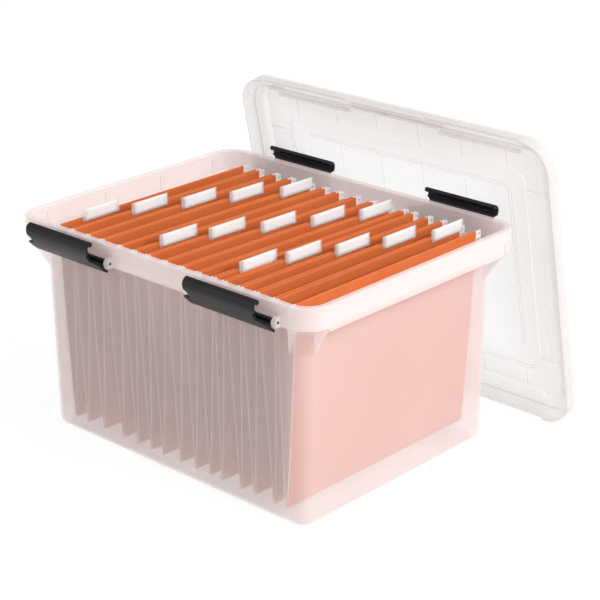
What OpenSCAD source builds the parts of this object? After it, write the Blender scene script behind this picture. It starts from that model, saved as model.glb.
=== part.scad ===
// Portable file box: a clear moulded bin with fifteen hanging folders, four swing latches
// and a lift-off lid. It stands open, with the lid leaning on the two rear latches.
// The origin is the middle of the bin's base. +X runs along the latch sides and +Z is up.

/* [Bin] */
// Length over the rim, along the latch sides
rim_length = 457; // [450:1:475]
// Width over the rim, front to back
rim_width = 352; // [348:1:362]
// Height of the bin without its lid
bin_height = 260; // [256:1:285]
// Outside radius of the rim's corners
rim_corner = 31; // [28:0.5:36]
// Width of the rim's flat top
rim_band = 9.2; // [8.6:0.1:12]
// Thickness of the moulded plastic
wall = 2.5; // [2:0.1:2.8]
// Distance from the rim's edge in to the end walls
end_inset = 25.2; // [23:0.2:29]
// Distance from the rim's edge in to the latch side walls
side_inset = 17.5; // [16.5:0.1:19]
// Outside radius of the wall's corners, under the ledge
wall_corner = 20; // [17:0.5:24]
// Distance each wall leans in, from the ledge down to the base
wall_draft = 2.7; // [1:0.1:4]
// Radius of the edge round the base
base_fillet = 8; // [5:0.5:10]
// Depth of the ledge under the rim's top
ledge_depth = 25; // [22:0.5:28]
// Height of the file rails above the ledge
rail_rise = 5; // [3:0.5:7]
// Depth of the apron under the rim's top
apron_depth = 25; // [24:0.5:27]
// Height of the smooth band on the ends of the rim
end_band = 14.5; // [12:0.5:17]
// Depth of the set-in skirt below that band, under the rim's top
end_skirt = 29; // [27:0.5:32]
// Height of the flared gussets under the rim's corners
gusset_height = 38; // [30:1:48]
// Distance between the small ribs inside the rim's ends
end_rib_pitch = 89; // [70:1:92]

/* [Latches] */
// Distance from the rim's corner to the nearest ear
ear_inset = 8; // [3:0.5:12]
// Length of a latch along its hinge
latch_length = 118; // [104:1:122]
// Length of the hook bead
hook_length = 101; // [96:1:108]
// Width of the plate at the notches beside the hook
notch_width = 93; // [84:1:94]
// Thickness of the latch's plate
latch_wall = 2.6; // [2:0.1:3]
// Distance from the rim's face out to the hinge axis
hinge_out = 4; // [3.9:0.1:5]
// Depth of the hinge axis below the rim's top
hinge_drop = 19; // [18:0.5:21]
// Diameter of the moulded hinge stubs
stub_d = 3; // [2.4:0.1:3.6]
// Clearance on the diameter between a stub and its bore
stub_clearance = 0.15; // [0.06:0.01:0.2]
// Thickness of each hinge ear
ear_wall = 5; // [4:0.5:6]
// Radius of the rounded ears, round the hinge axis
ear_radius = 5.6; // [5:0.1:6]
// Radius of the hook bead
bead_radius = 2.8; // [2:0.1:3]
// Angle that a latch falls open, from closed
open_angle = 33; // [28:1:35]

/* [Lid] */
// Thickness of the lid
lid_wall = 2; // [1.6:0.1:2.4]
// Distance that the lid reaches past each end of the rim
lid_over_end = 2.5; // [2.5:0.1:5]
// Distance that the lid reaches past the front and rear of the rim
lid_over_side = 8.3; // [7:0.1:9]
// Outside radius of the lid's corners
lid_corner = 36; // [32:1:42]
// Height of the skirt that hangs outside the rim, up to the seat
lid_skirt = 16; // [14:0.5:18]
// Height that the skirt's edge is cut back at each latch
skirt_cut = 4; // [3.5:0.5:5]
// Width of the seat between the lid's edge and its dished panel
lid_seat = 18.6; // [18:0.1:19]
// Depth of the dished panel behind the seat
lid_dish = 9; // [7:0.5:11]
// Height of the rib under the seat that rides on the rim
seal_rise = 3; // [2:0.5:4]
// Distance the dished panel's edge steps in at each latch
latch_recess = 6.5; // [5:0.5:7.5]
// Room beside the hook at each end of those steps
recess_play = 5; // [3:0.5:7]
// Distance from the lid's ends in to the raised band
band_inset_x = 51.7; // [46:0.1:60]
// Distance from the lid's sides in to the raised band
band_inset_y = 51.3; // [46:0.1:60]
// Width of the raised band
band_width = 24; // [16:1:30]
// Distance that the band stands into the lid
band_step = 2; // [1:0.1:2.2]
// Distance between the cross ribs
rib_pitch = 63.4; // [55:0.2:64]
// Distance between the ribs beside the band, on the lid's ends
end_rib_span = 224; // [190:1:240]
// Angle that the lid leans back from upright
lean_angle = 11.6; // [10.8:0.1:12.2]
// Distance of the lid's middle to the right of the bin's
lid_shift = 36; // [34:0.5:37]
// Clearance between the lid and the latches that it leans on
lean_gap = 0.4; // [0.3:0.1:0.8]

/* [Folders] */
// Length of a folder's card, front to back
card_length = 298; // [280:1:304]
// Height of a folder from its fold to its top edge
card_height = 238; // [150:1:240]
// Height of the card's top edge above the rails
card_above_rail = 10; // [9:0.5:11]
// Thickness of the folded card
card = 0.6; // [0.4:0.05:0.7]
// Height of a hanger rod
rod_height = 13; // [11:0.5:14]
// Thickness of a hanger rod
rod_wall = 1.2; // [0.8:0.1:1.4]
// Distance from a ridge to the rod on each side of it
ridge_gap = 2; // [1.9:0.05:2.2]
// Room between the row of folders and each end wall
row_gap = 16.8; // [14:0.2:20]
// Distance that the folders near the middle of the row are skewed
row_skew = 11; // [0:0.5:11]
// Length of a name tab
tab_length = 56; // [36:1:58]
// Height of a name tab
tab_height = 15; // [12:0.5:18]
// Distance from one tab position to the next
tab_pitch = 53; // [51:0.5:56]

/* [Hidden] */
$fa = 6;
$fs = 0.8;

// Mouth of each folder and the sideways place of its fold, as the row hangs
MOUTHS = [26, 27, 25, 30, 24, 22, 27, 26, 25, 23, 15, 23, 22, 26, 27];
FOLD_SHIFTS = [0, -4, -1, 6, 4, 4, 0, 2, 0, -2, -3, 7, 4, 8, -2];
folder_count = len(MOUTHS);

function two_digits(i) = i < 9 ? str("0", i + 1) : str(i + 1);
function numbered(name) = [for (i = [0 : folder_count - 1]) str(name, two_digits(i))];

LATCHES = ["latch_front_left", "latch_front_right", "latch_rear_left", "latch_rear_right"];
CARDS = numbered("folder_");
RODS = numbered("hanger_rods_");
TABS = numbered("tab_");

clear_plastic = [0.93, 0.93, 0.94, 0.45];
lid_plastic = [0.95, 0.95, 0.96, 0.4];
latch_black = [0.1, 0.1, 0.1];
card_orange = [0.84, 0.36, 0.16];
rod_white = [0.93, 0.93, 0.92];
tab_clear = [0.97, 0.97, 0.98];

// Small lap that carries one moulded stretch into the next
lap = 2;
arc_steps = 5;

rim_x = rim_length / 2;
rim_y = rim_width / 2;
wall_x = rim_x - end_inset;
wall_y = rim_y - side_inset;
ledge_z = bin_height - ledge_depth;
rail_z = ledge_z + rail_rise;
apron_z = bin_height - apron_depth;
rim_edge = 2;
rim_lean = 0.7;
hinge_z = bin_height - hinge_drop;
ear_gap = 0.5;
ear_in = latch_length / 2 + ear_gap;
latch_x = rim_x - rim_corner - ear_inset - ear_wall - ear_in;

// Points of an arc, from angle a0 to a1
function arc(c, r, a0, a1, n = arc_steps) =
    [for (i = [0 : n]) c + r * [cos(a0 + (a1 - a0) * i / n), sin(a0 + (a1 - a0) * i / n)]];

// Carries a section round a rounded rectangle. The section's x is the distance outward from
// the rectangle's edge, and its y is the height.
module ring_sweep(half_x, half_y, corner) {
    straight_x = half_x - corner;
    straight_y = half_y - corner;
    for (turn = [0, 180]) {
        rotate(turn) translate([half_x, straight_y, 0]) rotate([90, 0, 0])
            linear_extrude(2 * straight_y) children();
        rotate(turn + 90) translate([half_y, straight_x, 0]) rotate([90, 0, 0])
            linear_extrude(2 * straight_x) children();
    }
    for (sx = [-1, 1], sy = [-1, 1]) {
        start = sx > 0 ? (sy > 0 ? 0 : 270) : (sy > 0 ? 90 : 180);
        translate([sx * straight_x, sy * straight_y, 0]) rotate(start)
            rotate_extrude(angle = 90) translate([corner, 0]) children();
    }
}

// A flat rounded rectangle from its half sizes
module rounded_plate(half_x, half_y, corner) {
    square([2 * half_x, 2 * (half_y - corner)], center = true);
    square([2 * (half_x - corner), 2 * half_y], center = true);
    for (sx = [-1, 1], sy = [-1, 1]) {
        translate([sx * (half_x - corner), sy * (half_y - corner)]) circle(corner);
    }
}

// Carries a section straight along X. The section's x goes to +Y and its y to +Z.
module along_x(length) {
    translate([-length / 2, 0, 0]) rotate([90, 0, 90]) linear_extrude(length) children();
}

// How far the wall's face stands inside its line under the ledge, at height z
function wall_lean(z) = wall_draft * (1 - min(1, max(0, (z - base_fillet) / (ledge_z - base_fillet))));

module wall_section() {
    foot = -wall_draft - base_fillet;
    centre = [foot, base_fillet];
    polygon(concat(
        [[foot - lap, 0]],
        arc(centre, base_fillet, -90, 0),
        [[0, ledge_z], [-wall, ledge_z]],
        arc(centre, base_fillet - wall, 0, -90),
        [[foot - lap, wall]]
    ));
}

module rim_section() {
    polygon(concat(
        [[-wall, apron_z], [0, apron_z]],
        arc([-rim_edge, bin_height - rim_edge], rim_edge, 0, 90),
        arc([-rim_band + rim_edge, bin_height - rim_edge], rim_edge, 90, 180),
        [[-rim_band - rim_lean, ledge_z - wall], [-rim_band - rim_lean + wall, ledge_z - wall]],
        [[-rim_band + wall, bin_height - wall], [-wall, bin_height - wall]]
    ));
}

module floor_plate() {
    inset = wall_draft + base_fillet;
    linear_extrude(wall) rounded_plate(wall_x - inset, wall_y - inset, wall_corner - inset);
}

module ledge_plate() {
    outset = rim_band + rim_lean - wall / 2;
    translate([0, 0, ledge_z - wall]) linear_extrude(wall) difference() {
        rounded_plate(rim_x - outset, rim_y - outset, rim_corner - outset);
        rounded_plate(wall_x - wall / 2, wall_y - wall / 2, wall_corner - wall / 2);
    }
}

// The lips along the front and rear that the hanger rods rest on
module file_rails() {
    rail_length = 2 * (wall_x - wall_corner);
    for (sy = [-1, 1]) {
        translate([-rail_length / 2, sy * (wall_y - wall / 2) - wall / 2, ledge_z - wall])
            cube([rail_length, wall, rail_rise + wall]);
    }
}

// Below the smooth band, the skirt on each end of the rim is set in by half its thickness
module end_skirts() {
    skirt_y = rim_y - rim_corner;
    for (sx = [-1, 1]) {
        translate([sx * (rim_x - wall * 0.75) - wall / 4, -skirt_y, bin_height - end_skirt])
            cube([wall / 2, 2 * skirt_y, end_skirt - end_band + 1]);
    }
}

module end_skirt_steps() {
    skirt_y = rim_y - rim_corner;
    for (sx = [-1, 1]) {
        translate([sx * rim_x - wall / 2, -skirt_y, apron_z - 1])
            cube([wall, 2 * skirt_y, apron_depth - end_band + 1]);
    }
}

// Small upright ribs inside the rim's ends
module end_ribs() {
    rib_width = 3;
    rib_rise = 1.2;
    rib_height = ledge_depth - 5;
    for (sx = [-1, 1], k = [-1.5 : 1 : 1.5]) {
        rib_x = sx * (rim_x - rim_band - rim_lean / 2);
        translate([rib_x - rib_rise, k * end_rib_pitch - rib_width / 2, ledge_z - 1])
            cube([2 * rib_rise, rib_width, rib_height]);
    }
}

// One flared gusset under a rim corner: rings that grow from the wall's corner to the rim's
gusset_steps = 7;
gusset_turns = 6;
gusset_z = ledge_z - 0.5;
function gusset_share(k) = pow(k / gusset_steps, 1.1);
function gusset_height_at(k) = gusset_z - gusset_height + gusset_height * k / gusset_steps;

function gusset_ring(k) =
    let (share = gusset_share(k))
    let (z = gusset_height_at(k))
    let (inner = [wall_x - wall_corner, wall_y - wall_corner])
    let (outer = [rim_x - rim_corner, rim_y - rim_corner])
    let (c = inner + (outer - inner) * share)
    let (r0 = wall_corner - wall_lean(z) - 0.4)
    let (r = r0 + (rim_corner - 0.6 - r0) * share)
    let (seat = wall_corner - wall_lean(z) - wall / 2)
    let (a0 = asin((c[1] - inner[1]) / seat))
    let (a1 = acos((c[0] - inner[0]) / seat))
    [for (p = concat(arc(c, r, 0, 90, gusset_turns), arc(inner, seat, a1, a0, gusset_turns))) [p[0], p[1], z]];

module gusset() {
    count = 2 * (gusset_turns + 1);
    points = [for (k = [0 : gusset_steps]) each gusset_ring(k)];
    // Each ring lies round a thin crescent, so its two ends are closed strip by strip
    strip = [for (j = [0 : gusset_turns - 1]) [j, j + 1, count - 2 - j, count - 1 - j]];
    low = [for (s = strip) each [[s[0], s[1], s[2]], [s[0], s[2], s[3]]]];
    top = gusset_steps * count;
    high = [for (s = strip) each [[top + s[2], top + s[1], top + s[0]], [top + s[3], top + s[2], top + s[0]]]];
    sides = [for (k = [0 : gusset_steps - 1], j = [0 : count - 1])
        let (a = k * count + j, b = k * count + (j + 1) % count)
        each [[a, a + count, b], [b, a + count, b + count]]];
    polyhedron(points, concat(low, high, sides), convexity = 4);
}

module gussets() {
    for (mx = [0, 1], my = [0, 1]) {
        mirror([mx, 0, 0]) mirror([0, my, 0]) gusset();
    }
}

// Places a piece at each latch. Its x is outward from the rim's face and its y is up.
module at_latches() {
    for (turn = [0, 180], sx = [-1, 1]) {
        rotate(turn) translate([sx * latch_x, -rim_y, 0]) children();
    }
}

module ears() {
    at_latches() for (sx = [-1, 1]) {
        translate([sx * (ear_in + ear_wall / 2), 0, hinge_z]) along_x(ear_wall) {
            translate([-hinge_out, 0]) circle(ear_radius);
            translate([-hinge_out, -ear_radius]) square([hinge_out + wall * 0.6, 2 * ear_radius]);
        }
    }
}

module ear_bores() {
    bore_length = latch_length + 2 * ear_gap + 2 * ear_wall + 1;
    at_latches() translate([-bore_length / 2, -hinge_out, hinge_z]) rotate([0, 90, 0])
        cylinder(d = stub_d + stub_clearance, h = bore_length);
}

// Shallow pocket in the rim's face behind each latch
module latch_pockets() {
    pocket_depth = 1;
    pocket_low = hinge_z + 4;
    pocket_high = bin_height - rim_edge - 0.5;
    at_latches() translate([-ear_in + 1, -1, pocket_low])
        cube([2 * ear_in - 2, 1 + pocket_depth, pocket_high - pocket_low]);
}

module base_bin() color(clear_plastic) {
    difference() {
        union() {
            ring_sweep(wall_x, wall_y, wall_corner) wall_section();
            floor_plate();
            ledge_plate();
            file_rails();
            ring_sweep(rim_x, rim_y, rim_corner) rim_section();
            end_skirts();
            end_ribs();
            gussets();
            ears();
        }
        end_skirt_steps();
        ear_bores();
        latch_pockets();
    }
}

// Latch, drawn closed in its end view: x is outward from the hinge axis and y is up
hook_gap = 0.4;
bead_y = hinge_drop + seal_rise + lid_wall + hook_gap + bead_radius;
bead_x = 0.5;
latch_top = bead_y + bead_radius + 0.2;
BACK = [[1.5, latch_top], [15.4, latch_top + 0.3], [11.6, 4], [6.5, -10]];
back_steps = 12;

function bezier(p, t) =
    pow(1 - t, 3) * p[0] + 3 * pow(1 - t, 2) * t * p[1] + 3 * (1 - t) * t * t * p[2] + pow(t, 3) * p[3];
function bezier_way(p, t) =
    3 * pow(1 - t, 2) * (p[1] - p[0]) + 6 * (1 - t) * t * (p[2] - p[1]) + 3 * t * t * (p[3] - p[2]);
// A point at a depth inside the curved back
function inside(t, depth) =
    let (way = bezier_way(BACK, t))
    bezier(BACK, t) + depth * [way[1], -way[0]] / norm(way);

function outward(p, a) = [p[0] * cos(a) + p[1] * sin(a), p[1] * cos(a) - p[0] * sin(a)];

module latch_section() {
    barrel = hinge_out - 0.6;
    polygon(concat(
        [for (i = [0 : back_steps]) bezier(BACK, i / back_steps)],
        [for (i = [back_steps : -1 : 0]) inside(i / back_steps, latch_wall)]
    ));
    translate([bead_x, bead_y]) circle(bead_radius);
    for (t = [0.36, 0.56]) {
        translate(inside(t, latch_wall)) circle(1.2);
    }
    circle(barrel);
    translate([0, -latch_wall / 2]) square([bezier(BACK, 0.76)[0] - 1, latch_wall]);
    // The heel meets the rim's apron when the latch has fallen open
    rotate(open_angle) translate([-hinge_out + 0.3, -6]) square([hinge_out - 0.3, 6]);
}

// Outline of the latch from the front, with notches beside the hook
module latch_outline() {
    notch_low = 10;
    notch_high = bead_y - 6;
    low = -12;
    half = [[latch_length, low], [latch_length, notch_low - 4], [notch_width, notch_low],
            [notch_width, notch_high - 3], [hook_length, notch_high], [hook_length, latch_top + 1]];
    polygon(concat(
        [for (p = half) [p[0] / 2, p[1]]],
        [for (i = [len(half) - 1 : -1 : 0]) [-half[i][0] / 2, half[i][1]]]
    ));
}

// A closed latch with its hinge axis along X through the origin and its back towards -Y
module latch() {
    intersection() {
        mirror([0, 1, 0]) along_x(latch_length) latch_section();
        rotate([90, 0, 0]) linear_extrude(60, center = true) latch_outline();
    }
    stub_length = latch_length + 2 * (ear_gap + ear_wall);
    translate([-stub_length / 2, 0, 0]) rotate([0, 90, 0]) cylinder(d = stub_d, h = stub_length);
}

module latch_at(turn, sx) {
    rotate(turn) translate([sx * latch_x, -rim_y - hinge_out, hinge_z]) rotate([open_angle, 0, 0]) latch();
}

module latch_front_left() color(latch_black) latch_at(0, -1);
module latch_front_right() color(latch_black) latch_at(0, 1);
module latch_rear_left() color(latch_black) latch_at(180, 1);
module latch_rear_right() color(latch_black) latch_at(180, -1);

// Lid, drawn with the edge of its skirt on the ground and its panel on top
lid_x = rim_x + lid_over_end;
lid_y = rim_y + lid_over_side;
lid_depth = lid_skirt + lid_dish;
lid_top = lid_depth + lid_wall;
recess_length = hook_length + 2 * recess_play;
lid_edge = 1.8;
dish_edge = lid_seat - lid_wall;
dish_x = lid_x - dish_edge;
dish_y = lid_y - dish_edge;
dish_corner = lid_corner - dish_edge;

// The skirt and a stretch of the seat beside it
module skirt_section() {
    outer_z = lid_skirt + lid_wall;
    polygon(concat(
        [[-lid_wall, 0], [0, 0]],
        arc([-lid_edge, outer_z - lid_edge], lid_edge, 0, 90),
        [[-lid_wall - lap, outer_z], [-lid_wall - lap, lid_skirt], [-lid_wall, lid_skirt]]
    ));
}

module at_lid_latches() {
    for (turn = [0, 180], sx = [-1, 1]) {
        rotate(turn) translate([sx * latch_x, lid_y, 0]) children();
    }
}

// Outline of the dished panel, grown inward by a thickness. It steps in at each latch.
module dish_outline(inward) {
    step_half = recess_length / 2 + inward;
    difference() {
        rounded_plate(dish_x - inward, dish_y - inward, dish_corner - inward);
        at_lid_latches() translate([-step_half, -dish_edge - latch_recess - inward])
            square([2 * step_half, latch_recess + inward + 1]);
    }
}

module lid_rim() {
    cut_half = ear_in + ear_wall + 1.5;
    seat_x = lid_x - lid_wall - lap / 2;
    seat_y = lid_y - lid_wall - lap / 2;
    difference() {
        ring_sweep(lid_x, lid_y, lid_corner) skirt_section();
        at_lid_latches() translate([-cut_half, -lid_wall - 1, -1])
            cube([2 * cut_half, lid_wall + 2, skirt_cut + 1]);
    }
    translate([0, 0, lid_skirt]) linear_extrude(lid_wall) difference() {
        rounded_plate(seat_x, seat_y, lid_corner - lid_wall - lap / 2);
        dish_outline(lid_wall);
    }
    translate([0, 0, lid_skirt]) linear_extrude(lid_dish + lid_wall) difference() {
        dish_outline(0);
        dish_outline(lid_wall);
    }
}

// A low rib under the seat, above the middle of the rim's flat top
module seal_rib() {
    middle = rim_band / 2;
    rib_half = 1;
    outer = middle - rib_half;
    inner = middle + rib_half;
    translate([0, 0, lid_skirt - seal_rise]) linear_extrude(seal_rise + lid_wall / 2) difference() {
        rounded_plate(rim_x - outer, rim_y - outer, rim_corner - outer);
        rounded_plate(rim_x - inner, rim_y - inner, rim_corner - inner);
    }
}

band_corner = 18;
band_inner_corner = 12;

// The band's flat shape, drawn narrower on each side by a thickness
module band_shape(thinner = 0) {
    outer_x = lid_x - band_inset_x - thinner;
    outer_y = lid_y - band_inset_y - thinner;
    width = band_width - 2 * thinner;
    difference() {
        rounded_plate(outer_x, outer_y, band_corner - thinner);
        rounded_plate(outer_x - width, outer_y - width, band_inner_corner + thinner);
    }
}

module lid_panel() {
    difference() {
        union() {
            translate([0, 0, lid_depth]) linear_extrude(lid_wall) dish_outline(lid_wall / 2);
            translate([0, 0, lid_depth - band_step]) linear_extrude(lid_wall) band_shape();
        }
        translate([0, 0, lid_top - band_step]) linear_extrude(lid_wall + 1) band_shape(lid_wall);
    }
}

rib_width = 4;
rib_rise = 1.4;

// A low rib on the panel's inside, between two points
module panel_rib(x0, y0, x1, y1) {
    translate([x0, y0, lid_depth - rib_rise]) cube([x1 - x0, y1 - y0, rib_rise + 0.5]);
}

module lid_ribs() {
    band_x = lid_x - band_inset_x;
    band_y = lid_y - band_inset_y;
    reach_x = dish_x - lid_wall;
    reach_y = dish_y - lid_wall - latch_recess;
    half = rib_width / 2;
    for (turn = [0, 180], k = [-2.5 : 1 : 2.5]) {
        rotate(turn) panel_rib(k * rib_pitch - half, band_y - 1, k * rib_pitch + half, reach_y + 1);
    }
    for (turn = [0, 180], sy = [-1, 1]) {
        rib_y = sy * end_rib_span / 2;
        rotate(turn) panel_rib(band_x - 1, rib_y - half, reach_x + 1, rib_y + half);
    }
    inner_y = band_y - band_width + 1;
    for (k = [-1.5 : 1 : 1.5]) {
        panel_rib(k * rib_pitch - half, -inner_y, k * rib_pitch + half, inner_y);
    }
}

// The rear latches' open backs carry the lid, so its place follows from them
function open_back(t) = outward(bezier(BACK, t), open_angle);
function reach_at(t) = open_back(t)[0] * cos(lean_angle) + open_back(t)[1] * sin(lean_angle);
reach_steps = 40;
back_reach = max([for (i = [0 : reach_steps]) reach_at(i / reach_steps)]);
lean_y = rim_y + hinge_out + hinge_z * tan(lean_angle)
    + (back_reach + lean_gap - lid_depth + band_step) / cos(lean_angle);

module lid() color(lid_plastic) {
    translate([lid_shift, lean_y, 0])
        rotate([90 - lean_angle, 0, 180]) translate([0, lid_y, 0]) {
            lid_rim();
            seal_rib();
            lid_panel();
            lid_ribs();
        }
}

// Folders hang in a row. Each has a left and a right ridge, and its mouth lies between them.
mouth_total = [for (i = 0, t = 0; i <= folder_count; t = t + (i < folder_count ? MOUTHS[i] : 0), i = i + 1) t];
row_length = 2 * (wall_x - wall - row_gap);
row_shift = 1;
row_scale = row_length / mouth_total[folder_count];
card_top = rail_z + card_above_rail;
fold_z = card_top - card_height;
seat_gap = 0.2;
rod_end_gap = 0.9;
rod_reach = wall_y - rod_end_gap;
sleeve_play = 0.1;
sleeve_half = rod_wall / 2 + sleeve_play / 2 + card;
rod_top = card_top - card - sleeve_play;
rod_low = rod_top - rod_height;
sleeve_low = rod_low - sleeve_play - card;

function ridge(i) = row_shift - row_length / 2 + mouth_total[i] * row_scale;
function mouth_half(i) = MOUTHS[i] * row_scale / 2 - ridge_gap;
function skew_at(i) = row_skew * sin(180 * i / folder_count);
function folder_turn(i) = -atan((skew_at(i) + skew_at(i + 1)) / 2 / card_length);

module folder_at(i) {
    translate([(ridge(i) + ridge(i + 1)) / 2, 0, 0]) rotate(folder_turn(i)) children();
}

// A folder's section across its mouth, with a sleeve for a rod at each top edge
module card_section(half, fold_x) {
    polygon([
        [-half - card / 2, sleeve_low + card], [fold_x - card, fold_z], [fold_x + card, fold_z],
        [half + card / 2, sleeve_low + card], [half - card / 2, sleeve_low + card],
        [fold_x, fold_z + 4 * card], [-half + card / 2, sleeve_low + card]
    ]);
    for (side = [-1, 1]) {
        translate([side * half, 0]) difference() {
            translate([-sleeve_half, sleeve_low]) square([2 * sleeve_half, card_top - sleeve_low]);
            translate([-sleeve_half + card, sleeve_low + card])
                square([2 * (sleeve_half - card), card_top - sleeve_low - 2 * card]);
        }
    }
}

module folder_card(i) color(card_orange) {
    translate([0, card_length / 2, 0]) rotate([90, 0, 0]) linear_extrude(card_length)
        card_section(mouth_half(i), FOLD_SHIFTS[i]);
}

// A hanger rod seen from its side: x runs front to back and y is up
module rod_outline() {
    hook_low = rail_z + seat_gap;
    neck = card_length / 2 + 0.5;
    difference() {
        translate([-rod_reach, rod_low]) square([2 * rod_reach, rod_height]);
        for (side = [-1, 1]) {
            translate([side * (neck + rod_reach + 5) / 2, hook_low / 2])
                square([rod_reach + 5 - neck, hook_low], center = true);
            translate([side * (rod_reach - 3.4), rod_top - 4]) circle(d = 3);
        }
    }
}

module hanger_rods(i) color(rod_white) {
    for (side = [-1, 1]) {
        translate([side * mouth_half(i) - rod_wall / 2, 0, 0]) rotate([90, 0, 90])
            linear_extrude(rod_wall) rod_outline();
    }
}

// A clear tab folded round a blank card insert, on the inner face of the left panel
tab_positions = 5;
tab_shift = 18;
tab_skin = 0.5;
tab_insert = 0.6;

module tab(i) color(tab_clear) {
    place = (i % tab_positions - (tab_positions - 1) / 2) * tab_pitch + tab_shift;
    low = card_top - tab_height * 0.37;
    gap = 0.1;
    depth = 2 * tab_skin + tab_insert + 2 * gap;
    translate([-mouth_half(i) + sleeve_half, place - tab_length / 2, low]) {
        difference() {
            cube([depth, tab_length, tab_height]);
            translate([tab_skin, -1, -1]) cube([depth - 2 * tab_skin, tab_length + 2, tab_height + 1 - tab_skin]);
        }
        translate([tab_skin + gap, 0.4, 0]) cube([tab_insert, tab_length - 0.8, tab_height - tab_skin - gap]);
    }
}

base_bin();
lid();
latch_front_left();
latch_front_right();
latch_rear_left();
latch_rear_right();
for (i = [0 : folder_count - 1]) {
    folder_at(i) folder_card(i);
    folder_at(i) hanger_rods(i);
    folder_at(i) tab(i);
}
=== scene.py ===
"""A portable file box stands open on a pale floor, with fifteen folders and its lid behind it."""

import math
import random

import bpy
import numpy as np
from mathutils import Matrix, Vector


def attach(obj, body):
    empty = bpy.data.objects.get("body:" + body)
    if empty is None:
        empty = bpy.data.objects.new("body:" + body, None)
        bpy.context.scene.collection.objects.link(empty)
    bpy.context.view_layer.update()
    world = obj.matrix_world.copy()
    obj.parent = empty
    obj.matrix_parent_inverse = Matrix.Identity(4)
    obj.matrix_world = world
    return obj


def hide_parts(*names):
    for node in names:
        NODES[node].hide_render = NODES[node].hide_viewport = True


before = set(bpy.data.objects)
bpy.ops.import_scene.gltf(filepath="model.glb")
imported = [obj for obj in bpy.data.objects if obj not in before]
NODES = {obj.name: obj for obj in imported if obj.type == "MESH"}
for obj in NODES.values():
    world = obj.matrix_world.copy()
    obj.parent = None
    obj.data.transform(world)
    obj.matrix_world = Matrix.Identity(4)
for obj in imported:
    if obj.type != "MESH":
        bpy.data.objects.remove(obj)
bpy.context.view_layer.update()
MM = 0.001

# The camera stands to the right of the box's front corner and looks down on it
AZIMUTH = 42.84
ELEVATION = 21.74
ROLL = -0.35
CAMERA_DISTANCE = 2136.2 * MM
CAMERA_RIGHT = 37.6 * MM
CAMERA_UP = 150.2 * MM
FOCAL_PIXELS = 1812.1
PICTURE_PIXELS = 600
SENSOR = 36.0
CLIP_END = 50

# The soft light is stronger from above and from the right
BRIGHT_SIDE = (0.65, 0.2, 0.73)
DIM_SKY = 0.2
BRIGHT_SKY = 1.0
LIGHT_TARGET = (0.02, 0.02, 0.15)
KEY_LIGHT = {"place": (2.7, 0.3, 2.1), "size": 1.2, "power": 80}
FILL_LIGHT = {"place": (-1.6, -2.2, 1.7), "size": 1.6, "power": 17}

# The floor shines like a light table
FLOOR_SIZE = 30
FLOOR_GLOW = 0.86

# The lid is clearest near the middle of its panel and its film grows towards the edges. The clear
# spot is set at X 20 mm, left of the panel's middle at 36 mm, so the film is heavier on the right
# and lighter on the left: painted shade on the lid's right side and painted light on its left
LID_SHADE_SHIFTED_CLEAR_SPOT = {"X": 20 * MM, "Z": 182 * MM}
LID_HALF = {"X": 231 * MM, "Z": 182 * MM}
LID_FILM = [(0.55, 0.1), (0.75, 0.18), (1.0, 0.31)]

# The bin is clearer on its walls than at its rim
BIN_FILM_TOP = 300 * MM
BIN_FILM = [(0.0, 0.27), (0.76, 0.29), (0.8, 0.38)]

# The folders' card
CARD = 0.45 * MM
EDGE_STRIP = 1.1 * MM
FLAP = 17 * MM
FOLD_RADIUS = 0.9 * MM
SLEEVE_EASE = 2 * MM
NEAR = 0.5 * MM
BOW = (0.9, 2.6)
WAVE = (0.2, 0.5)
SLEEVE_STEPS = 6
PANEL_STEPS = 14
STATIONS = 25

# The name tabs
STRIP = 0.2 * MM
INSERT = 0.3 * MM
INSERT_FRONT = 5 * MM
INSERT_REAR = 1.2 * MM
INSERT_LIFT = 0.3 * MM
TAB_STATIONS = 9
TAB_STEPS = 5


def make_camera():
    a = math.radians(AZIMUTH)
    e = math.radians(ELEVATION)
    r = math.radians(ROLL)
    back = Vector((math.sin(a) * math.cos(e), -math.cos(a) * math.cos(e), math.sin(e)))
    level = Vector((math.cos(a), math.sin(a), 0))
    rise = back.cross(level)
    right = math.cos(r) * level + math.sin(r) * rise
    up = -math.sin(r) * level + math.cos(r) * rise
    place = back * CAMERA_DISTANCE + right * CAMERA_RIGHT + up * CAMERA_UP
    data = bpy.data.cameras.new("camera")
    data.sensor_width = SENSOR
    data.lens = SENSOR * FOCAL_PIXELS / PICTURE_PIXELS
    data.clip_end = CLIP_END
    camera = bpy.data.objects.new("camera", data)
    turn = Matrix((right, up, back)).transposed().to_4x4()
    camera.matrix_world = Matrix.Translation(place) @ turn
    bpy.context.scene.collection.objects.link(camera)
    bpy.context.scene.camera = camera


def make_area_light(name, place, size, power):
    data = bpy.data.lights.new(name, "AREA")
    data.shape = "DISK"
    data.size = size
    data.energy = power
    lamp = bpy.data.objects.new(name, data)
    lamp.location = place
    aim = Vector(LIGHT_TARGET) - Vector(place)
    lamp.rotation_euler = aim.to_track_quat("-Z", "Y").to_euler()
    bpy.context.scene.collection.objects.link(lamp)


def make_studio():
    """Light from a sky that is brighter on one side, and from two soft lamps."""
    scene = bpy.context.scene
    scene.view_settings.view_transform = "Standard"
    world = bpy.data.worlds.new("studio")
    scene.world = world
    world.use_nodes = True
    tree = world.node_tree
    way = add_node(tree, "ShaderNodeTexCoord").outputs["Generated"]
    side = add_node(tree, "ShaderNodeVectorMath", operation="DOT_PRODUCT")
    side.inputs[1].default_value = BRIGHT_SIDE
    tree.links.new(way, side.inputs[0])
    spread = add_node(tree, "ShaderNodeMapRange")
    spread.inputs["From Min"].default_value = -1
    tree.links.new(side.outputs["Value"], spread.inputs["Value"])
    sky = ramp(tree, spread.outputs["Result"], [(0.35, DIM_SKY), (0.9, BRIGHT_SKY)])
    tree.links.new(sky, tree.nodes["Background"].inputs["Color"])
    make_area_light("key", **KEY_LIGHT)
    make_area_light("fill", **FILL_LIGHT)


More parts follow.
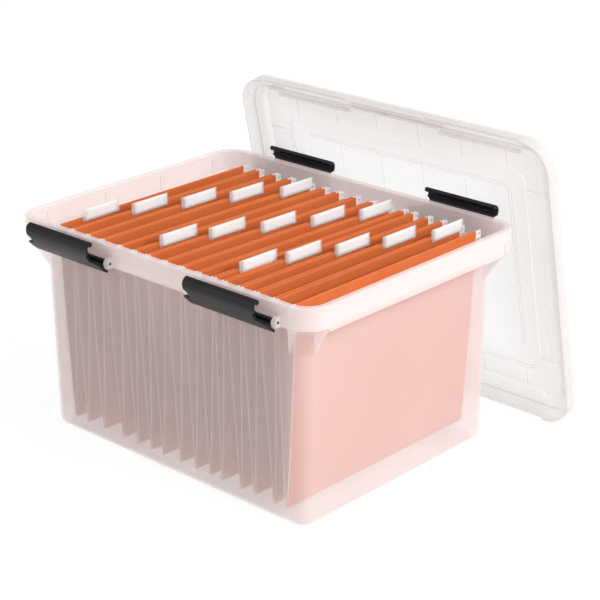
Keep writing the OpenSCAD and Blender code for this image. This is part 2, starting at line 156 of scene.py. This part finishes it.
def new_material(name):
    material = bpy.data.materials.new(name)
    material.use_nodes = True
    tree = material.node_tree
    return material, tree, tree.nodes["Principled BSDF"]


def add_node(tree, kind, **values):
    """A node with its settings and its inputs' values."""
    node = tree.nodes.new(kind)
    for key, value in values.items():
        if hasattr(node, key):
            setattr(node, key, value)
        else:
            node.inputs[key.replace("_", " ")].default_value = value
    return node


def set_inputs(shader, values):
    for key, value in values.items():
        shader.inputs[key].default_value = value


def object_noise(tree, scale, detail=3.0, roughness=0.55, stretch=None):
    """A noise over the piece's own coordinates, which may be stretched along an axis."""
    place = add_node(tree, "ShaderNodeTexCoord").outputs["Object"]
    if stretch:
        mapping = add_node(tree, "ShaderNodeMapping")
        mapping.inputs["Scale"].default_value = stretch
        tree.links.new(place, mapping.inputs["Vector"])
        place = mapping.outputs["Vector"]
    noise = add_node(tree, "ShaderNodeTexNoise", Scale=scale, Detail=detail, Roughness=roughness)
    tree.links.new(place, noise.inputs["Vector"])
    return noise.outputs["Fac"]


def object_axes(tree):
    """The piece's own coordinates, one output to an axis."""
    place = add_node(tree, "ShaderNodeTexCoord").outputs["Object"]
    axes = add_node(tree, "ShaderNodeSeparateXYZ")
    tree.links.new(place, axes.inputs["Vector"])
    return axes.outputs


def ramp(tree, value, stops):
    """A colour ramp from a list of (place, colour or grey level)."""
    node = add_node(tree, "ShaderNodeValToRGB")
    elements = node.color_ramp.elements
    while len(elements) < len(stops):
        elements.new(0.5)
    for element, (place, level) in zip(elements, stops):
        element.position = place
        element.color = (*level, 1) if isinstance(level, tuple) else (level, level, level, 1)
    tree.links.new(value, node.inputs["Fac"])
    return node.outputs["Color"]


def add_bump(tree, shader, height, strength, distance, bevel=0.0):
    """Fine relief, over softly rounded edges where a bevel is given."""
    bump = add_node(tree, "ShaderNodeBump", Strength=strength, Distance=distance)
    tree.links.new(height, bump.inputs["Height"])
    if bevel:
        edge = add_node(tree, "ShaderNodeBevel", samples=4, Radius=bevel)
        tree.links.new(edge.outputs["Normal"], bump.inputs["Normal"])
    tree.links.new(bump.outputs["Normal"], shader.inputs["Normal"])


def frosted_plastic(name, tint, glow, glow_tint, roughness, film):
    """Plastic that scatters back the share film(tree) and passes on the share glow of the light."""
    material, tree, shader = new_material(name)
    cloud = object_noise(tree, 9.0, 2.0)
    colour = ramp(tree, cloud, [(0.3, tint[0]), (0.7, tint[1])])
    tree.links.new(colour, shader.inputs["Base Color"])
    fine = object_noise(tree, 900.0, 2.0, 0.6)
    spread = 0.05
    tree.links.new(ramp(tree, fine, [(0.3, roughness - spread), (0.7, roughness + spread)]),
                   shader.inputs["Roughness"])
    tree.links.new(film(tree), shader.inputs["Alpha"])
    shader.inputs["IOR"].default_value = 1.49
    add_bump(tree, shader, fine, 0.12, 0.0004, 0.0009)
    passed = add_node(tree, "ShaderNodeBsdfTranslucent")
    passed.inputs["Color"].default_value = (*glow_tint, 1)
    both = add_node(tree, "ShaderNodeMixShader")
    both.inputs["Fac"].default_value = glow
    tree.links.new(shader.outputs["BSDF"], both.inputs[1])
    tree.links.new(passed.outputs["BSDF"], both.inputs[2])
    tree.links.new(both.outputs["Shader"], tree.nodes["Material Output"].inputs["Surface"])
    return material


def lid_film(tree):
    """The film grows with the distance from the clear spot, as a share of the lid's half sizes. The
    clear spot sits left of the panel's middle, which paints shade on the lid's right side and light
    on its left.
    """
    axes = object_axes(tree)
    outer = add_node(tree, "ShaderNodeMath", operation="MAXIMUM")
    for k, axis in enumerate(LID_SHADE_SHIFTED_CLEAR_SPOT):
        offset = add_node(tree, "ShaderNodeMath", operation="SUBTRACT")
        offset.inputs[1].default_value = LID_SHADE_SHIFTED_CLEAR_SPOT[axis]
        tree.links.new(axes[axis], offset.inputs[0])
        share = add_node(tree, "ShaderNodeMath", operation="DIVIDE")
        share.inputs[1].default_value = LID_HALF[axis]
        tree.links.new(offset.outputs["Value"], share.inputs[0])
        size = add_node(tree, "ShaderNodeMath", operation="ABSOLUTE")
        tree.links.new(share.outputs["Value"], size.inputs[0])
        tree.links.new(size.outputs["Value"], outer.inputs[k])
    return ramp(tree, outer.outputs["Value"], LID_FILM)


def bin_film(tree):
    """The film is stronger above the walls."""
    height = add_node(tree, "ShaderNodeMapRange")
    height.inputs["From Max"].default_value = BIN_FILM_TOP
    tree.links.new(object_axes(tree)["Z"], height.inputs["Value"])
    return ramp(tree, height.outputs["Result"], BIN_FILM)


def latch_plastic():
    material, tree, shader = new_material("latch_black_plastic")
    cloud = object_noise(tree, 30.0, 4.0)
    stops = [(0.3, (0.004, 0.004, 0.004)), (0.75, (0.009, 0.0085, 0.008))]
    tree.links.new(ramp(tree, cloud, stops), shader.inputs["Base Color"])
    grain = object_noise(tree, 1800.0, 2.0, 0.7)
    tree.links.new(ramp(tree, grain, [(0.25, 0.4), (0.75, 0.54)]), shader.inputs["Roughness"])
    set_inputs(shader, {"IOR": 1.5, "Specular IOR Level": 0.3})
    add_bump(tree, shader, grain, 0.2, 0.0003, 0.0007)
    return material


def card_stock(name, light, dark):
    """Matt card with a clouded body and fine fibres along its length."""
    material, tree, shader = new_material(name)
    cloud = object_noise(tree, 14.0, 5.0, 0.6)
    body = ramp(tree, cloud, [(0.2, dark), (0.8, light)])
    fibre = object_noise(tree, 420.0, 6.0, 0.75, (1.0, 0.35, 1.0))
    mix = add_node(tree, "ShaderNodeMix", data_type="RGBA", blend_type="MULTIPLY")
    mix.inputs["Factor"].default_value = 1.0
    tree.links.new(body, mix.inputs["A"])
    tree.links.new(ramp(tree, fibre, [(0.25, 0.86), (0.75, 1.0)]), mix.inputs["B"])
    tree.links.new(mix.outputs["Result"], shader.inputs["Base Color"])
    set_inputs(shader, {"Roughness": 0.72, "Specular IOR Level": 0.3})
    add_bump(tree, shader, fibre, 0.25, 0.0003)
    return material


def rod_plastic():
    material, tree, shader = new_material("rod_white_plastic")
    cloud = object_noise(tree, 40.0, 3.0)
    tree.links.new(ramp(tree, cloud, [(0.3, (0.8, 0.8, 0.81)), (0.7, (0.87, 0.87, 0.87))]),
                   shader.inputs["Base Color"])
    set_inputs(shader, {"Roughness": 0.4, "Alpha": 0.72})
    add_bump(tree, shader, object_noise(tree, 1500.0), 0.1, 0.0002, 0.0003)
    return material


def tab_plastic():
    material, tree, shader = new_material("tab_clear_plastic")
    cloud = object_noise(tree, 60.0)
    tree.links.new(ramp(tree, cloud, [(0.3, (0.9, 0.88, 0.88)), (0.7, (0.96, 0.95, 0.95))]),
                   shader.inputs["Base Color"])
    set_inputs(shader, {"Roughness": 0.12, "Alpha": 0.22})
    add_bump(tree, shader, object_noise(tree, 700.0), 0.05, 0.0002)
    return material


def insert_paper():
    material, tree, shader = new_material("tab_insert_paper")
    fibre = object_noise(tree, 900.0, 5.0, 0.7)
    tree.links.new(ramp(tree, fibre, [(0.25, (0.84, 0.83, 0.83)), (0.75, (0.92, 0.91, 0.91))]),
                   shader.inputs["Base Color"])
    shader.inputs["Roughness"].default_value = 0.8
    add_bump(tree, shader, fibre, 0.15, 0.0002)
    return material


def floor_material():
    material, tree, shader = new_material("floor_pale")
    cloud = object_noise(tree, 3.0)
    tree.links.new(ramp(tree, cloud, [(0.3, 0.15), (0.7, 0.17)]), shader.inputs["Base Color"])
    set_inputs(shader, {"Emission Color": (1, 1, 1, 1), "Emission Strength": FLOOR_GLOW,
                        "Roughness": 0.9})
    return material


def make_floor():
    bpy.ops.mesh.primitive_plane_add(size=FLOOR_SIZE)
    floor = bpy.context.active_object
    floor.name = "floor"
    floor.data.materials.append(floor_material())


def dress(node, material):
    """Give a node of the frame its material."""
    data = NODES[node].data
    data.materials.clear()
    data.materials.append(material)


def make_piece(name, mesh_parts, material, body, replaced=(), edge=None):
    """A smooth piece that rides on a body. The edge is a second material and its faces."""
    points, faces = mesh_parts
    mesh = bpy.data.meshes.new(name)
    mesh.from_pydata([tuple(p) for p in points], [], faces)
    mesh.validate()
    piece = bpy.data.objects.new(name, mesh)
    bpy.context.scene.collection.objects.link(piece)
    mesh.materials.append(material)
    if edge:
        edge_material, edge_faces = edge
        mesh.materials.append(edge_material)
        for k in edge_faces:
            mesh.polygons[k].material_index = 1
    for face in mesh.polygons:
        face.use_smooth = True
    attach(piece, body)
    if replaced:
        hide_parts(*replaced)


def corners_of(node):
    return np.array([v.co for v in NODES[node].data.vertices])


class CardFrame:
    """Where a folder hangs and how its card is folded, measured on its solid."""

    def __init__(self, node):
        corners = corners_of(node)
        self.low = corners[:, 2].min()
        self.high = corners[:, 2].max()
        fold = corners[corners[:, 2] < self.low + NEAR]
        rear = fold[fold[:, 1] > 0].mean(0)
        front = fold[fold[:, 1] < 0].mean(0)
        way = rear - front
        self.length = float(np.linalg.norm(way[:2]))
        self.turn = math.atan2(-way[0], way[1])
        edge = corners[corners[:, 2] > self.high - NEAR]
        self.centre = np.array([edge[:, 0].mean(), edge[:, 1].mean(), 0])
        across = self.to_local(edge)[:, 0]
        reach = float(across.max())
        inner = np.abs(across).min()
        self.sleeve = (reach - inner) / 2
        self.half = reach - self.sleeve
        self.fold = float(self.to_local(fold)[:, 0].mean())

    def to_local(self, points):
        p = np.asarray(points) - self.centre
        c = math.cos(self.turn)
        s = math.sin(self.turn)
        return np.stack([p[:, 0] * c + p[:, 1] * s, -p[:, 0] * s + p[:, 1] * c, p[:, 2]], -1)

    def to_world(self, points):
        p = np.asarray(points)
        c = math.cos(self.turn)
        s = math.sin(self.turn)
        turned = [p[:, 0] * c - p[:, 1] * s, p[:, 0] * s + p[:, 1] * c, p[:, 2]]
        return np.stack(turned, -1) + self.centre


def ribbon(sections, thickness):
    """A thin sheet as a closed solid. Each section is a list of (x, y, z) in one plane of y."""
    points = []
    for line in sections:
        line = np.asarray(line)
        way = np.gradient(line, axis=0)
        normal = np.stack([way[:, 2], np.zeros(len(line)), -way[:, 0]], -1)
        normal /= np.linalg.norm(normal, axis=1)[:, None]
        points.append(line + normal * thickness / 2)
        points.append(line - normal * thickness / 2)
    points = np.concatenate(points)
    count = len(sections[0])
    rows = len(sections)

    def at(row, side, k):
        return (2 * row + side) * count + k

    faces = []
    for row in range(rows - 1):
        after = row + 1
        for k in range(count - 1):
            faces.append((at(row, 0, k), at(row, 0, k + 1), at(after, 0, k + 1), at(after, 0, k)))
            faces.append((at(row, 1, k), at(after, 1, k), at(after, 1, k + 1), at(row, 1, k + 1)))
        for k in (0, count - 1):
            edge = (at(row, 0, k), at(after, 0, k), at(after, 1, k), at(row, 1, k))
            faces.append(edge if k == 0 else edge[::-1])
    for row in (0, rows - 1):
        for k in range(count - 1):
            cap = (at(row, 0, k), at(row, 1, k), at(row, 1, k + 1), at(row, 0, k + 1))
            faces.append(cap if row == 0 else cap[::-1])
    return points, faces


def make_folder(node, card_material, edge_material):
    """A sheet of card, folded at the bottom and turned inward over a rod at each top edge."""
    f = CardFrame(node)
    dice = random.Random(node)
    bow = [dice.uniform(*BOW) * MM for _ in range(2)]
    wave = [dice.uniform(*WAVE) * MM for _ in range(2)]
    phase = [dice.uniform(0, 2 * math.pi) for _ in range(2)]
    radius = f.sleeve - CARD / 2
    top = f.high - f.sleeve
    bottom = f.low + CARD / 2

    def half_section(side, y):
        """From the flap's edge, over the rod and down the panel, to the fold."""
        k = 0 if side < 0 else 1
        flap = (top - FLAP, top - FLAP / 2, top - SLEEVE_EASE)
        line = [(side * (f.half - radius), z) for z in flap]
        for n in range(SLEEVE_STEPS + 1):
            a = math.pi * n / SLEEVE_STEPS
            line.append((side * (f.half - radius * math.cos(a)), top + radius * math.sin(a)))
        start = (side * (f.half + radius), top - SLEEVE_EASE)
        end = (f.fold + side * FOLD_RADIUS, bottom + FOLD_RADIUS)
        u = y / f.length + 0.5
        swell = bow[k] * (0.45 + 0.55 * math.sin(math.pi * u))
        ripple = wave[k] * math.sin(6.3 * u + phase[k])
        for n in range(PANEL_STEPS + 1):
            t = n / PANEL_STEPS
            out = (swell + ripple) * math.sin(math.pi * t)
            x = start[0] + (end[0] - start[0]) * t + side * out
            line.append((x, start[1] + (end[1] - start[1]) * t))
        return line

    sections = []
    inner_stations = np.linspace(-1, 1, STATIONS) * (f.length / 2 - EDGE_STRIP)
    for y in (-f.length / 2, *inner_stations, f.length / 2):
        line = half_section(-1, y) + [(f.fold, bottom)] + half_section(1, y)[::-1]
        sections.append([(x, y, z) for x, z in line])
    points, faces = ribbon(sections, CARD)
    points[:, 2] = np.clip(points[:, 2], f.low, f.high)
    first_rows = 4 * len(sections[0])
    last_rows = len(points) - first_rows
    ends = [k for k, face in enumerate(faces) if max(face) < first_rows or min(face) >= last_rows]
    make_piece("card_" + node[-2:], (f.to_world(points), faces), card_material, node,
               (node,), (edge_material, ends))
    return f


def make_tab(node, body, f, clear, paper):
    """A clear strip folded over a blank paper insert."""
    number = node[-2:]
    corners = f.to_local(corners_of(node))
    low = corners.min(0)
    high = corners.max(0)
    radius = (high[0] - low[0] - STRIP) / 2
    middle = (low[0] + high[0]) / 2
    crown = high[2] - radius - STRIP / 2
    sections = []
    for y in np.linspace(low[1], high[1], TAB_STATIONS):
        line = [(middle - radius, z) for z in np.linspace(low[2], crown, TAB_STEPS)]
        line += [(middle - radius * math.cos(a), crown + radius * math.sin(a))
                 for a in np.linspace(0, math.pi, SLEEVE_STEPS + 1)[1:-1]]
        line += [(middle + radius, z) for z in np.linspace(crown, low[2], TAB_STEPS)]
        sections.append([(x, y, z) for x, z in line])
    points, faces = ribbon(sections, STRIP)
    make_piece("tab_strip_" + number, (f.to_world(points), faces), clear, body,
               (node,))
    heights = np.linspace(low[2] + INSERT_LIFT, crown - STRIP / 2, TAB_STEPS)
    stations = np.linspace(low[1] + INSERT_FRONT, high[1] - INSERT_REAR, TAB_STATIONS)
    points, faces = ribbon([[(middle, y, z) for z in heights] for y in stations], INSERT)
    make_piece("tab_insert_" + number, (f.to_world(points), faces), paper, body)


def main():
    make_camera()
    make_studio()
    make_floor()
    bin_tint = ((0.9, 0.865, 0.86), (0.94, 0.91, 0.905))
    lid_tint = ((0.75, 0.725, 0.71), (0.8, 0.775, 0.76))
    # The light the bin's walls pass on is tinted pink (0.96, 0.8, 0.78): painted light, standing in
    # for the orange light of the folders behind the walls
    dress("base_bin", frosted_plastic("bin_frosted_plastic", bin_tint, 0.17, (0.96, 0.8, 0.78),
                                      0.4, bin_film))
    dress("lid", frosted_plastic("lid_clear_plastic", lid_tint, 0.05, (0.85, 0.83, 0.81),
                                 0.35, lid_film))
    black = latch_plastic()
    for node in NODES:
        if node.startswith("latch_"):
            dress(node, black)
    card = card_stock("folder_orange_card", (0.63, 0.15, 0.036), (0.55, 0.12, 0.028))
    # The card's cut ends and a band EDGE_STRIP wide beside them on both faces are pale
    pale_end_band = card_stock("folder_pale_end_band", (0.95, 0.8, 0.74), (0.9, 0.73, 0.66))
    rods = rod_plastic()
    clear = tab_plastic()
    paper = insert_paper()
    for node in sorted(n for n in NODES if n.startswith("folder_")):
        f = make_folder(node, card, pale_end_band)
        dress("hanger_rods_" + node[-2:], rods)
        make_tab("tab_" + node[-2:], node, f, clear, paper)


main()
